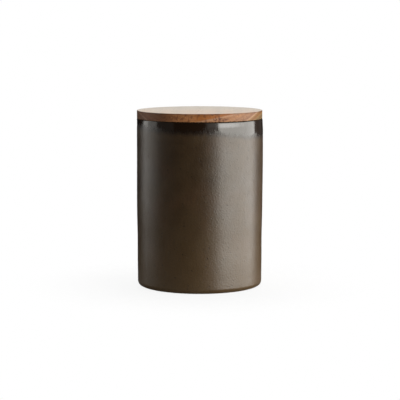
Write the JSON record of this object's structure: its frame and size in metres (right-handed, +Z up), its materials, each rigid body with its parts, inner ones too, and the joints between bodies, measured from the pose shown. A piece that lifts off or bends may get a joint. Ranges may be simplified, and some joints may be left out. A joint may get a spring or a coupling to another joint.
{
  "type": "olive jar",
  "caption": "Straight-sided glazed stoneware food jar with a flat turned wooden lid, whose plug seals in the mouth with a finned silicone ring and lifts off.",
  "frame": {"origin": "centre of the foot, on the table", "axes": "+Z up along the jar's own axis, +X to the right as the picture sees it, -Y towards the viewer"},
  "size_m": [0.1078, 0.1078, 0.1503],
  "materials": {
    "stoneware": "satin olive-brown glaze on the wall, glossy near-black glaze at the rim and inside, bare clay on the foot ring",
    "lid_wood": "oiled hardwood, satin",
    "silicone": "milky translucent silicone, satin"
  },
  "bodies": {
    "jar": {"jar_body": "stoneware"},
    "seal": {"lid_seal": "silicone"},
    "lid": {"wood_lid": "lid_wood"}
  },
  "joints": [
    {"name": "lid_lift", "type": "slide", "parent": "jar", "child": "seal", "axis": [0, 0, 1], "range_m": [0, 0.08]},
    {"name": "lid_turn", "type": "hinge", "parent": "seal", "child": "lid", "pos_m": [0, 0, 0.1435], "axis": [0, 0, 1], "continuous": true}
  ]
}
